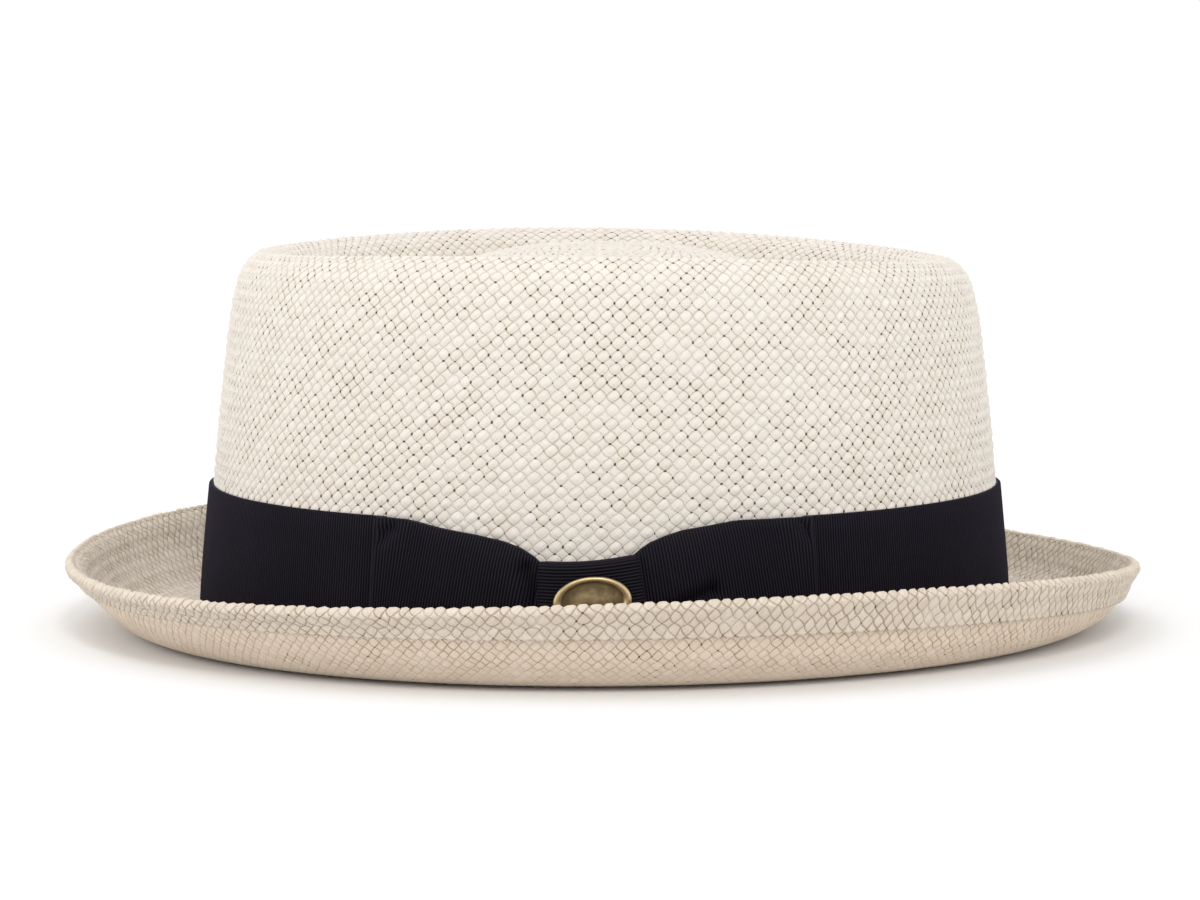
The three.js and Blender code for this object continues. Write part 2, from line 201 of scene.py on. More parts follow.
def row_point(row, angle):
    part, out, up = ROWS[row]
    half_length, half_width = HEAD_LENGTH / 2, HEAD_WIDTH / 2
    if part == "brim":
        ends = BRIM_TILT * np.cos(angle) + BRIM_DIP * np.cos(2 * angle)
        sides = BRIM_LIFT * np.sin(angle) + BRIM_TWIST * np.sin(2 * angle)
        sag = BRIM_SAG * 4 * up * (1 - up) * np.cos(angle)
        height = STRAW_WALL + (BRIM_RISE - ends - sides - STRAW_WALL) * up - sag
        length = half_length + BRIM_REACH_END * out
        width = half_width + BRIM_REACH_SIDE * out
        egg = CROWN_EGG + (BRIM_EGG - CROWN_EGG) * out**3
        return oval(angle, length, width, egg, CROWN_SHIFT * (1 - out), height)
    crest = CROWN_HEIGHT - CREST_TILT * np.cos(angle) - CREST_DIP * np.cos(2 * angle)
    groove = CROWN_HEIGHT - GROOVE_DEPTH
    inset, share = CROWN_LEAN, out
    if part == "dome":
        height = groove + DOME_RISE * up
    elif part == "rim":
        height = groove + (crest - groove) * up
    else:
        inset, share = CROWN_LEAN * out, 1
        height = CROWN_HEIGHT * up + (crest - CROWN_HEIGHT) * up**3
    length, width = (half_length - inset) * share, (half_width - inset) * share
    return oval(angle, length, width, CROWN_EGG, CROWN_SHIFT, height)


# %% How far along the straw each row lies
def once_round(count):
    return np.linspace(0, 2 * np.pi, count, endpoint=False)


def step_lengths(points):
    return np.linalg.norm(np.diff(points, axis=0), axis=-1)


def running_sum(steps):
    return np.concatenate([[0.0], np.cumsum(steps)])


rings = np.stack([row_point(row, once_round(72)) for row in range(len(ROWS))])
ALONG = running_sum(step_lengths(rings).mean(axis=1))
EDGE = ALONG[-1]
CROWN_FOOT = ALONG[-1 - len(PARTS["brim"][0])]
print("straw from the tip's middle to the brim's edge, mm:", round(EDGE, 1))


def tip_distance(reach):
    """How far from the middle the tip has that reach."""
    reaches = PARTS["dome"][0] + PARTS["rim"][0]
    return float(np.interp(reach, reaches, ALONG[: len(reaches)]))


def wall_distance(height):
    """How far from the middle of the tip the wall is that high."""
    wall = [(CROWN_HEIGHT * up, along) for (part, _, up), along in zip(ROWS, ALONG) if part == "wall"]
    return float(np.interp(height, *zip(*wall[::-1])))


# %% A smooth line through the rows
def slope_through(points, places):
    """The slope of a smooth line at the middle one of three points."""
    before, after = places[1] - places[0], places[2] - places[1]
    first, second = points[1] - points[0], points[2] - points[1]
    if before == 0 or after == 0:
        return (first + second) / (before + after)
    return (first / before * after + second / after * before) / (before + after)


def straw_point(along, angle):
    """A point of the straw's upper face, along mm from the middle of the tip."""
    last = len(ROWS) - 1
    row = int(np.clip(np.searchsorted(ALONG, along, side="right") - 1, 0, last - 1))
    near = [min(max(row + step, 0), last) for step in (-1, 0, 1, 2)]
    points, places = [row_point(i, angle) for i in near], ALONG[near]
    gap = places[2] - places[1]
    t = (along - places[1]) / gap
    start, end = (slope_through(points[i : i + 3], places[i : i + 3]) * gap for i in (0, 1))
    rise = points[2] - points[1]
    return points[1] + t * start + t * t * (3 * rise - 2 * start - end) + t**3 * (start + end - 2 * rise)


def unit(vectors):
    return vectors / np.linalg.norm(vectors, axis=-1, keepdims=True)


def straw_frame(along, angle):
    """A point, the unit direction away from the tip, the way round per radian, and the normal."""
    step, turn = 0.05, 0.01
    point = straw_point(along, angle)
    outward = unit(straw_point(along + step, angle) - straw_point(along - step, angle))
    around = (straw_point(along, angle + turn) - straw_point(along, angle - turn)) / (2 * turn)
    return point, outward, around, unit(np.cross(outward, around))


# %% [markdown]
# ## The folded edge
# At the brim's edge the straw is folded outwards and lies back on itself as a hem. The same path is
# simply carried on: round a small oval, and back along the outside of the brim.

# %% Carry the path on round the edge
FOLD = (STRAW_WALL + HEM_THICKNESS) / 2
FOLD_REACH = 1.0
FOLD_LENGTH = math.pi * (FOLD + FOLD_REACH) / 2
FOLD_START = EDGE - 0.06


def folded_frame(along, angle):
    if along <= EDGE:
        return straw_frame(along, angle)
    if along >= EDGE + FOLD_LENGTH:
        back = 2 * EDGE + FOLD_LENGTH - along
        point, outward, around, normal = straw_frame(back, angle)
        return point - 2 * FOLD * normal, -outward, around, -normal
    point, outward, around, normal = straw_frame(FOLD_START, angle)
    turn = math.pi * (along - EDGE) / FOLD_LENGTH
    spot = point + (math.cos(turn) - 1) * FOLD * normal + math.sin(turn) * FOLD_REACH * outward
    ahead = unit(math.cos(turn) * FOLD_REACH * outward - math.sin(turn) * FOLD * normal)
    return spot, ahead, around, unit(np.cross(ahead, around))


def under_frame(along, angle):
    """The brim's lower face, followed from the hem inwards, so that its normal points down."""
    point, outward, around, normal = straw_frame(EDGE - along, angle)
    return point - STRAW_WALL * normal, -outward, around, -normal


# %% [markdown]
# ## A lattice of strands
# The straw is a plain weave laid slantwise: one family of strands runs like /, the other like \, and at
# each crossing one lies on top. A mesh whose lines follow the strands gives crisp crossings with few
# faces, so each vertex gets two numbers, a and b, that count the strands of the two families. A cell
# between whole numbers is one crossing, cut in three both ways. Its sides are bowed, so that the /
# strands look full and the \ strands small between them, and each strand strays a little at random.

# %% The lattice's numbers
CUTS = 3
BOW_ACROSS = 0.045
BOW_ALONG = 0.13
STRAY = 0.08
SCATTER = 0.06
SEAM_ANGLE = math.pi / 2


def ring_length(frame_at, along):
    return step_lengths(frame_at(along, np.linspace(0, 2 * np.pi, 91))[0]).sum()


def lattice_rows(frame_at, start, end, strands, stretch=1.0):
    """Where the mesh rows lie, so that the cells keep their shape while the ring grows or shrinks."""
    fine = np.linspace(start, end, 160)
    density = np.array([2 * strands / ring_length(frame_at, along) for along in fine]) / stretch
    crossings = running_sum(np.diff(fine) * (density[1:] + density[:-1]) / 2)
    count = 2 * max(round(crossings[-1] * CUTS / 2), 1)
    return np.interp(np.linspace(0, crossings[-1], count + 1), crossings, fine)


def scatter(table, a, b):
    """A random table's values at the strands' corners, blended in between."""
    i, j, size = np.floor(a).astype(int), np.floor(b).astype(int), len(table)
    u, v = a - i, b - j
    near, far = (
        (1 - v) * table[row % size, j % size] + v * table[row % size, (j + 1) % size] for row in (i, i + 1)
    )
    return (1 - u) * near + u * far


def lattice(frame_at, rows_at, strands, seed, shear=None, bow=1.0, uneven=SCATTER):
    """A woven band: its lattice numbers, the woven points, and the plain ones with their normals."""
    random = np.random.default_rng(seed)
    strays = random.uniform(-STRAY, STRAY, (2, strands + 1))
    strays[:, -1] = strays[:, 0]
    corners = random.uniform(-uneven, uneven, (2, strands, strands))
    bow = np.broadcast_to(bow, len(rows_at))
    column = np.arange(strands * CUTS)
    last = len(rows_at) - 1
    rows = []
    for row, along in enumerate(rows_at):
        a, b = (row + column) / CUTS, column / CUTS
        angle = SEAM_ANGLE + np.pi / strands * (a + b)
        if shear:
            angle = angle + np.pi / strands * shear(angle) * (last - row) / CUTS
        point, outward, around, normal = frame_at(along, angle)
        move_a = np.interp(a % strands, np.arange(strands + 1), strays[0])
        move_b = np.interp(b % strands, np.arange(strands + 1), strays[1])
        move_a = move_a - bow[row] * BOW_ACROSS * np.cos(np.pi * a) * np.sin(np.pi * b)
        move_b = move_b - bow[row] * BOW_ALONG * np.sin(np.pi * a) * np.cos(np.pi * b)
        move_a, move_b = move_a + scatter(corners[0], a, b), move_b + scatter(corners[1], a, b)
        cell = ring_length(frame_at, along) / (2 * strands)
        fade = min(row, last - row, CUTS) / CUTS
        aside = (move_a + move_b)[:, None] * np.pi / strands * around
        ahead = (move_a - move_b)[:, None] * cell * fade * outward
        rows.append((a, b, point + aside + ahead, point, normal))
    return dict(zip(("a", "b", "woven", "plain", "normal"), map(np.stack, zip(*rows))))


# %% [markdown]
# ## Collecting vertices and faces
# A piece is one closed shell: woven straw on the face that is seen, a plain back, and edges that join
# them. This collector numbers the vertices and keeps the lattice numbers of each face's corners, which
# become the UV map that the straw's material reads.


# %% Collect the vertices and faces of a shell
def cells(rows, columns):
    """The row and the column of each cell of a grid."""
    return (numbers.ravel() for numbers in np.meshgrid(rows, columns, indexing="ij"))


class Shell:
    """Vertices, faces and face corners of one closed piece."""

    def __init__(self):
        self.points, self.faces, self.corners, self.back = [], [], [], []
        self.values = {"strand_a": [], "strand_b": [], "relief": []}
        self.count = 0

    def place(self, points, a=0.5, b=0.5, relief=0.0):
        """Add a grid of points and return their numbers."""
        size = points.shape[:-1]
        self.points.append(points.reshape(-1, 3))
        for store, value in zip(self.values.values(), (a, b, relief)):
            store.append(np.broadcast_to(value, size).reshape(-1))
        numbers = np.arange(self.count, self.count + points[..., 0].size).reshape(size)
        self.count += numbers.size
        return numbers

    def join(self, corners, marks=None, back=False):
        """Add faces, given as one list of vertices for each corner. Marks are the UVs."""
        faces = np.stack(corners, axis=-1)
        self.faces.append(faces)
        self.corners.append(np.full(faces.shape + (2,), 0.5) if marks is None else np.stack(marks, axis=1))
        self.back.append(np.full(len(faces), back))

    def weave(self, numbers):
        """Faces along the strands between rows of vertices, and triangles at both ends."""
        rows = len(numbers)
        self.join_cells(numbers, range(1, rows - 1), [(0, 0), (1, 0), (0, 1), (-1, 1)])
        self.join_cells(numbers, [0], [(0, 0), (1, 0), (0, 1)])
        self.join_cells(numbers, [rows - 1], [(0, 0), (0, 1), (-1, 1)])

    def join_cells(self, numbers, rows, sides):
        columns = numbers.shape[1]
        row, column = cells(rows, range(columns))
        corners = [numbers[row + down, (column + right) % columns] for down, right in sides]
        counts = [(row + down + column + right, column + right) for down, right in sides]
        self.join(corners, [np.stack(count, axis=-1) / CUTS for count in counts])

    def sheet(self, numbers, rows, finer=1):
        """Plain faces between rows, facing inwards. rows are the lattice rows that they lie on."""
        columns = numbers.shape[1]
        row, column = cells(range(len(rows) - 1), range(columns))
        corners, marks = [], []
        for down, right in [(0, 0), (0, 1), (1, 1), (1, 0)]:
            corners.append(numbers[row + down, (column + right) % columns])
            half, count = rows[row + down] / 2, finer * (column + right)
            marks.append(np.stack([count + half, count - half], axis=-1) / CUTS)
        self.join(corners, marks, back=True)

    def zip(self, inner, outer, back=False):
        """Triangles between two rings with different numbers of vertices, counted the same way."""
        n, m = len(inner), len(outer)
        turns = np.concatenate([np.arange(1, n + 1) * m, np.arange(1, m + 1) * n])
        on_inner = np.argsort(turns, kind="stable") < n
        i, j = np.cumsum(on_inner), np.cumsum(~on_inner)
        ahead = np.where(on_inner, inner[i % n], outer[j % m])
        corners = [inner[(i - on_inner) % n], outer[(j - ~on_inner) % m], ahead]
        self.join(corners[::-1] if back else corners, back=back)

    def fan(self, middle, ring, back=False):
        """Triangles between one vertex and a ring round it."""
        self.join([np.full(len(ring), middle[0]), ring, np.roll(ring, -1)], back=back)

    def edge(self, one, two, closed=False):
        """Faces between two lines of vertices."""
        if closed:
            one, two = np.append(one, one[0]), np.append(two, two[0])
        self.join([one[:-1], one[1:], two[1:], two[:-1]])


# %% Turn collected faces into an object
def put_in_scene(name, data):
    thing = bpy.data.objects.new(name, data)
    scene.collection.objects.link(thing)
    return thing


def make_object(name, shell):
    points = np.concatenate(shell.points) * MM
    mesh = bpy.data.meshes.new(name)
    mesh.from_pydata(points.tolist(), [], [face for group in shell.faces for face in group.tolist()])
    corners = np.concatenate([group.reshape(-1, 2) for group in shell.corners])
    mesh.uv_layers.new(name="Weave").data.foreach_set("uv", corners.astype(np.float32).ravel())
    for label, values in shell.values.items():
        data = mesh.attributes.new(label, "FLOAT", "POINT").data
        data.foreach_set("value", np.concatenate(values).astype(np.float32))
    back = mesh.attributes.new("back", "BOOLEAN", "FACE").data
    back.foreach_set("value", np.concatenate(shell.back))
    mesh.shade_smooth()
    return put_in_scene(name, mesh)


# %% [markdown]
# ## Straw relief with Geometry Nodes
# On the real hat each strand bulges where it lies on top and dives where it goes under. That repeats
# tens of thousands of times, so a node tree makes it: from the lattice numbers it works out which
# strand is on top, gives it a pillow-shaped rise, lets each crossing differ a little, and moves the
# vertices along their normals.

# %% Build the tree that raises the strands
FULL_PILLOW = (2.4, 2.0)
SMALL_PILLOW = (4.0, 3.0)


def new_tree(name, sockets):
    """A Geometry Nodes tree, its inputs as wires by name, and its modifier's socket identifiers."""
    tree = bpy.data.node_groups.new(name, "GeometryNodeTree")
    tree.interface.new_socket("Geometry", in_out="OUTPUT", socket_type="NodeSocketGeometry")
    identifiers = {}
    for label, kind in {"Geometry": "Geometry", **sockets}.items():
        socket = tree.interface.new_socket(label, in_out="INPUT", socket_type="NodeSocket" + kind)
        identifiers[label] = socket.identifier
    start = Wire(tree).add("NodeGroupInput")
    return tree, {label: start.out(label) for label in identifiers}, identifiers


def named(start, label, kind="FLOAT"):
    return start.add("GeometryNodeInputNamedAttribute", {"Name": label}, {"data_type": kind})


def finish_tree(start, height, front, back=None):
    """Move the vertices along their normals by height mm, and give the faces their materials."""
    values = {0: start.add("GeometryNodeInputNormal"), "Scale": height * named(start, "relief") * MM}
    offset = start.add("ShaderNodeVectorMath", values, {"operation": "SCALE"})
    moved = start.add("GeometryNodeSetPosition", {"Geometry": start, "Offset": offset})
    real = start.add("GeometryNodeRealizeInstances", {"Geometry": moved})
    done = start.add("GeometryNodeSetMaterial", {"Geometry": real, "Material": front})
    if back is not None:
        values = {"Geometry": done, "Selection": named(start, "back", "BOOLEAN"), "Material": back}
        done = start.add("GeometryNodeSetMaterial", values)
    start.add("NodeGroupOutput", {"Geometry": done})


def crossing(a, b):
    """Which family lies on top, and how far a place is from the middle of each of the two strands."""
    over = (a.floor() + b.floor()) % 2
    return over, abs(a - a.floor() - 0.5) * 2, abs(b - b.floor() - 0.5) * 2


def pillow(from_a, from_b, powers):
    return (1 - from_a ** powers[0]) * (1 - from_b ** powers[1])


def relief_tree():
    floats = ["Full Height", "Small Height", "Groove Depth", "Unevenness", "Seed"]
    sockets = {**dict.fromkeys(floats, "Float"), "Straw": "Material", "Back Straw": "Material"}
    tree, wires, identifiers = new_tree("Straw relief", sockets)
    start = wires["Geometry"]
    a, b = named(start, "strand_a"), named(start, "strand_b")
    over, from_a, from_b = crossing(a, b)
    full = pillow(from_a, from_b, FULL_PILLOW) * wires["Full Height"]
    sunk = 1 - named(start, "relief").steps(0.9, 1.3)
    small = pillow(from_a, from_b, SMALL_PILLOW) * wires["Small Height"] * sunk
    uneven = 1 + (a.floor().chance(b.floor(), wires["Seed"]) - 0.5) * wires["Unevenness"]
    height = over.between(full, small) * uneven - wires["Groove Depth"]
    finish_tree(start, height, wires["Straw"], wires["Back Straw"])
    return tree, identifiers


RELIEF = relief_tree()


def settle(piece, made_tree, values):
    """Run a tree on a piece and keep the result as a plain mesh."""
    tree, identifiers = made_tree
    modifier = piece.modifiers.new(tree.name, "NODES")
    modifier.node_group = tree
    for label, value in values.items():
        modifier[identifiers[label]] = value
    graph = bpy.context.evaluated_depsgraph_get()
    full = piece.evaluated_get(graph)
    made = bpy.data.meshes.new_from_object(full, preserve_all_data_layers=True, depsgraph=graph)
    piece.modifiers.remove(modifier)
    plain, piece.data = piece.data, made
    made.name = piece.name
    bpy.data.meshes.remove(plain)
    triangles = sum(len(face.vertices) - 2 for face in made.polygons)
    print(f"{piece.name}: {len(made.vertices)} vertices, {triangles} triangles")
    return piece


# %% [markdown]
# ## Straw as a material
# Fine fibres run along each strand and each strand has its own tone. The grooves get painted shade, deeper
# in some patches than in others, and at some corners a small hole between four strands is painted dark as
# painted shade. On the brim, painted shade also darkens the straw towards the fold and over the hem. The
# material reads the lattice numbers from the UV map, so all of this follows the strands wherever they
# bend.


# %% Begin and finish a material
def new_material(name):
    """An empty material, and the place on the object as its first wire."""
    material = bpy.data.materials.new(name)
    material.use_nodes = True
    material.node_tree.nodes.clear()
    return material, Wire(material.node_tree).add("ShaderNodeTexCoord").out("Object")


def weave_numbers(body):
    place = body.add("ShaderNodeUVMap", settings={"uv_map": "Weave"})
    first = body.add("ShaderNodeSeparateXYZ", {0: place})
    return first, first.out("Y")


def finish_material(body, values, height=None, strength=0.0, distance=0.0):
    if height is not None:
        bump = {"Height": height, "Strength": strength, "Distance": distance}
        values = {**values, "Normal": body.add("ShaderNodeBump", bump)}
    shader = body.add("ShaderNodeBsdfPrincipled", values)
    body.add("ShaderNodeOutputMaterial", {"Surface": shader})


# %% Straw, seen from outside or from behind
# The colour painted into the small holes between strands: painted shade for the gap.
HOLE_SHADE_COLOUR = (0.1, 0.067, 0.038, 1)
HOLE_SIZE = 0.26


def straw_material(name, pale, deep, hole_share, grooves=1.0, relief=0.0, fade=None, hem_shade=None):
    """Two optional spans of rows: over the first the grooves and their painted shade fade out, over the
    second painted shade darkens the straw.
    """
    material, body = new_material(name)
    a, b = weave_numbers(body)
    over, from_a, from_b = crossing(a, b)
    across, along = over.between(a, b), over.between(b, a)
    fibre = (across * 6).place(along * 0.7, over * 5).noise(1.4, 3.0)
    strand_tone = across.floor().chance(over)
    cell_tone = a.floor().chance(b.floor())
    patch = body.noise(22.0, 2.0)
    # Patches where the painted shade in the grooves is lighter or deeper.
    shade_patches = body.noise(160.0, 2.0).steps(0.38, 0.66)

    groove = from_a.math("MAXIMUM", from_b).steps(0.74, 1.02)
    if fade:
        groove = groove * (1 - (a - b).steps(*fade) * 0.85)
    tone = fibre * 0.75 + strand_tone * 0.1 + cell_tone * 0.08 + patch * 0.14
    # Painted shade in the grooves between the strands.
    shade = groove * (fibre * 0.4 + cell_tone * 0.4 - 0.02) * shade_patches.between(0.55, 1.6)
    tone = tone + shade * grooves
    # Painted shade: the straw darkens towards the brim's fold and over the hem.
    if hem_shade:
        tone = tone + (a - b).steps(*hem_shade) * 0.22
    colour = (tone - 0.3).blend(pale, deep)

    # Painted shade: at some corners a small hole between four strands is painted dark, for the shade seen
    # through the gap.
    to_corner = ((1 - from_a) ** 2.0 + (1 - from_b) ** 2.0) ** 0.5
    near_a, near_b = (a + 0.5).floor(), (b + 0.5).floor()
    loose = near_b.chance() * 0.22 + (near_a + 0.3).chance() * 0.38
    open_share = near_a.chance(near_b) * 0.5 + loose + patch * 0.4
    size = open_share.steps(0.95 - hole_share, 1.45 - hole_share) * HOLE_SIZE
    hole = (size - to_corner).steps(-0.07, 0.05)
    colour = hole.blend(colour, HOLE_SHADE_COLOUR)

    height = fibre * 0.45 - hole * 1.5 - groove * 0.72
    if relief:
        height = height + pillow(from_a, from_b, FULL_PILLOW) * over.between(relief, relief * 0.5)
    values = {"Base Color": colour, "Roughness": 0.6, "Specular IOR Level": 0.3}
    finish_material(body, values, height, 0.6, 0.4 * MM)
    return material


STRAW = straw_material("straw", (0.748, 0.706, 0.654, 1), (0.5, 0.42, 0.32, 1), 0.46)
STRAW_UNDER = straw_material(
    "straw_under", (0.76, 0.652, 0.54, 1), (0.42, 0.31, 0.2, 1), 0.16, grooves=1.5, fade=(2, 14)
)
STRAW_BACK = straw_material("straw_back", (0.8, 0.74, 0.65, 1), (0.5, 0.4, 0.29, 1), 0.3, relief=0.9)
print("materials:", [material.name for material in (STRAW, STRAW_UNDER, STRAW_BACK)])

# %% [markdown]
# ## The crown's wall
# The wall goes from the brim's break, behind the ribbon, up to just inside the rim. Behind the ribbon
# nobody sees it, so there the rows are stretched and flat. The strands also lean a little, more on the
# bow's left than on its right, because a woven cap pulls askew when it is pressed on its block.

# %% Weave the crown
CROWN_STRANDS = 178
CROWN_STRETCH = 0.985
CROWN_TOP_REACH = 0.86
HIDDEN_HEIGHT = 26.5
HIDDEN_ROWS = 4
WEAVE = {"Full Height": 0.52, "Small Height": 0.34, "Groove Depth": 0.28, "Unevenness": 0.5}


def crown_shear(angle):
    return 0.08 - 0.1 * np.cos(angle)


def woven_shell(name, band, rows_at, relief, stops, depth):
    """A closed shell: a woven band in front, and a plain, coarser back on the rows in stops."""
    shell = Shell()
    front = shell.place(band["woven"], band["a"], band["b"], relief[:, None])
    sunk = band["plain"] - depth * band["normal"]
    back = shell.place(np.stack([np.roll(sunk[row], row // 2, axis=0)[::CUTS] for row in stops]))
    shell.weave(front)
    shell.sheet(back, (rows_at[stops] - rows_at[0]) / np.median(np.diff(rows_at)), finer=CUTS)
    shell.zip(front[0], back[0], back=True)
    shell.zip(np.roll(front[-1], (len(front) - 1) // 2), back[-1])
    return make_object(name, shell)


def raise_straw(piece, seed, straw=STRAW, weave=WEAVE):
    return settle(piece, RELIEF, {**weave, "Seed": seed, "Straw": straw, "Back Straw": STRAW_BACK})


hidden_from = wall_distance(HIDDEN_HEIGHT)
crown_start = tip_distance(CROWN_TOP_REACH)
seen_rows = lattice_rows(straw_frame, crown_start, hidden_from, CROWN_STRANDS, CROWN_STRETCH)
hidden_rows = np.linspace(hidden_from, CROWN_FOOT - 0.5, HIDDEN_ROWS + 1)[1:]
crown_rows = np.concatenate([seen_rows, hidden_rows])
band = lattice(straw_frame, crown_rows, CROWN_STRANDS, 3, crown_shear)
shown = np.clip((hidden_from - crown_rows) / 2 + 0.5, 0, 1)
stops = [*range(0, 60, 6), *range(60, len(crown_rows) - 1, 20), len(crown_rows) - 1]
crown = woven_shell("crown_wall", band, crown_rows, shown, stops, STRAW_WALL)
raise_straw(crown, 1.0)

# %% [markdown]
# ## The tip
# A straw cap is begun in its middle, and strands are added as the circle grows. The tip is made the
# same way: rings of lattice, each with half as many strands again as the last, zipped together.

# %% Weave the tip
TIP_STRANDS = [12, 18, 26, 38, 58, 88, 132]
TIP_REACHES = [0.03, 0.08, 0.115, 0.17, 0.25, 0.38, 0.57, CROWN_TOP_REACH]
TIP_GAP = 0.5
TIP_BACK_ROWS = 25


def weave_tip():
    shell = Shell()
    pole = shell.place(straw_point(0.0, np.zeros(1)), relief=1.0)
    places = [tip_distance(reach) for reach in TIP_REACHES]
    for index, strands in enumerate(TIP_STRANDS):
        start = places[index] + (TIP_GAP if index else 0)
        rows = lattice_rows(straw_frame, start, places[index + 1], strands)
        band = lattice(straw_frame, rows, strands, 20 + index)
        front = shell.place(band["woven"], band["a"], band["b"], 1.0)
        if index:
            shell.zip(ring, front[0])
        else:
            shell.fan(pole, front[0])
        shell.weave(front)
        ring = np.roll(front[-1], (len(front) - 1) // 2)
    stops = np.linspace(places[0], places[-1], TIP_BACK_ROWS)
    places = [straw_frame(along, SEAM_ANGLE + once_round(strands)) for along in stops]
    numbers = shell.place(np.stack([point - STRAW_WALL * normal for point, _, _, normal in places]))
    cell = ring_length(straw_frame, stops[-1]) / (2 * strands)
    shell.sheet(numbers, CUTS * stops / cell, finer=CUTS)
    shell.zip(ring, numbers[-1])
    middle = shell.place(straw_point(0.0, np.zeros(1)) - [0, 0, STRAW_WALL])
    shell.fan(middle, numbers[0][::-1], back=True)
    return make_object("crown_tip", shell)


tip = raise_straw(weave_tip(), 2.0)

# %% [markdown]
# ## The brim
# The brim is two thin shells, one on the other. The upper one runs from the crown's foot out to the
# edge, round the fold and down the hem. The lower one is the underside, where the straw is flatter. The
# hem ends in a clear step, because it lies on the underside.

# %% Weave the brim's face and hem
BRIM_STRANDS = 290
BRIM_STRETCH = 1.3
BRIM_UNDER_CROWN = 3.0
HEM_STEPS = 16
HEM_FIRST_CELL = 2.6
FOLD_SPREAD = 2.2
# Cell rows before the fold over which painted shade darkens the brim's face; the hem beyond stays
# darkened.
HEM_SHADE_ROWS = 4
fold_top = EDGE + FOLD_LENGTH * 0.35
brim_start, hem_end = CROWN_FOOT - BRIM_UNDER_CROWN, EDGE + FOLD_LENGTH + HEM_WIDTH
inside = lattice_rows(folded_frame, brim_start, fold_top, BRIM_STRANDS, BRIM_STRETCH)
whole = 2 * CUTS * round(len(inside) / (2 * CUTS))
inside = np.interp(np.linspace(0, len(inside) - 1, whole + 1), np.arange(len(inside)), inside)
hem_places = [fold_top, fold_top + HEM_FIRST_CELL, hem_end]
hem_rows = np.interp(np.arange(HEM_STEPS + 1), [0, CUTS, HEM_STEPS], hem_places)
brim_rows = np.concatenate([inside, hem_rows[1:]])
at_fold = np.exp(-(((brim_rows - fold_top) / FOLD_SPREAD) ** 2))
band = lattice(folded_frame, brim_rows, BRIM_STRANDS, 5, bow=1 + 1.6 * at_fold, uneven=0.18)
under_hem = int(np.searchsorted(brim_rows, EDGE - HEM_WIDTH)) // 2 * 2
stops = [*range(0, under_hem, 6), under_hem]
brim = woven_shell("brim_face", band, brim_rows, 0.75 + 0.45 * at_fold, stops, STRAW_WALL / 2)
edge_row = len(inside) / CUTS
# From these rows on, painted shade darkens the straw over the fold and the hem.
hem_shade = edge_row - HEM_SHADE_ROWS, edge_row
STRAW_BRIM = straw_material(
    "straw_brim", (0.785, 0.705, 0.61, 1), (0.39, 0.31, 0.225, 1), 0.2, grooves=1.5, hem_shade=hem_shade
)
raise_straw(brim, 3.0, STRAW_BRIM)

# %% Weave the underside
UNDER_STRANDS = 300
FLAT_WEAVE = {"Full Height": 0.2, "Small Height": 0.13, "Groove Depth": 0.08, "Unevenness": 0.5}
under_rows = lattice_rows(under_frame, HEM_WIDTH - 1.0, EDGE - CROWN_FOOT - 0.5, UNDER_STRANDS)
band = lattice(under_frame, under_rows, UNDER_STRANDS, 6, uneven=0.09)
under_relief = np.interp(under_rows, [8, 20], [1, 0.35])
stops = [*range(0, len(under_rows) - 1, 6), len(under_rows) - 1]
under = woven_shell("brim_under", band, under_rows, under_relief, stops, STRAW_WALL / 2 - 0.1)
raise_straw(under, 4.0, STRAW_UNDER, FLAT_WEAVE)

# %% [markdown]
# ## Ribbon
# The ribbon is grosgrain: fine cords lie close together across its width. Each cord is real relief
# too, four vertices wide, raised by a second tree. Every ribbon piece is a strip with a front and a back
# grid of points, so one function makes them all.

# %% Sizes of the ribbon and the bow, in millimetres
RIBBON_FOOT = 5.0
RIBBON_WIDTH = 32.1
RIBBON_THICKNESS = 1.0
RIB = 0.72
RIB_CUTS = 4
RIB_INSET = 0.25
BOW_ANGLE = math.radians(-91.6)
WING_LEFT = 54.0
WING_RIGHT = 54.5
WING_THICKNESS = 1.8
WING_PUFF = 2.6
WING_INNER_END = 1.4
LAYER = 0.6
BAND_UNDER_WING = 1.6
KNOT_WIDTH = 25.0
KNOT_HEIGHT = 15.6
KNOT_PAD = 1.2
KNOT_FOLD = 0.6
KNOT_SKEW = math.radians(5)
KNOT_NARROWING = 1.9
KNOT_SAG = 0.7
RIB_LEAN = math.tan(math.radians(8))
LEAN_FADE = 8.0
CLEARANCE = 0.3
RIBBON_MIDDLE = RIBBON_FOOT + RIBBON_WIDTH / 2
STANDOFF = CLEARANCE + RIBBON_THICKNESS + CLEARANCE
KNOT_FRONT = STANDOFF + WING_THICKNESS + KNOT_PAD + CLEARANCE + RIBBON_THICKNESS
KNOT_MOUTH = KNOT_WIDTH / 2 + CLEARANCE


# %% Places beside the crown's wall
def beside_wall(angle, height, out):
    leans, rises = (values[::-1] for values in PARTS["wall"])
    inset = CROWN_LEAN * np.interp(height / CROWN_HEIGHT, rises, leans) - out
    half_length, half_width = HEAD_LENGTH / 2 - inset, HEAD_WIDTH / 2 - inset
    return oval(angle, half_length, half_width, CROWN_EGG, CROWN_SHIFT, height)


# The ribbon's line, from the knot once round the hat both ways.
HALF_LINE = 2000
LINE_ANGLES = BOW_ANGLE + np.linspace(-2 * np.pi, 2 * np.pi, 2 * HALF_LINE + 1)
line = beside_wall(LINE_ANGLES, np.full(LINE_ANGLES.shape, RIBBON_MIDDLE), 0.0)
LINE_LENGTHS = running_sum(step_lengths(line))
LINE_LENGTHS = LINE_LENGTHS - LINE_LENGTHS[HALF_LINE]
RIBBON_ROUND = LINE_LENGTHS[-1]
print("round the hat along the ribbon, mm:", round(RIBBON_ROUND, 1))


def angle_along(distance):
    return np.interp(distance, LINE_LENGTHS, LINE_ANGLES)


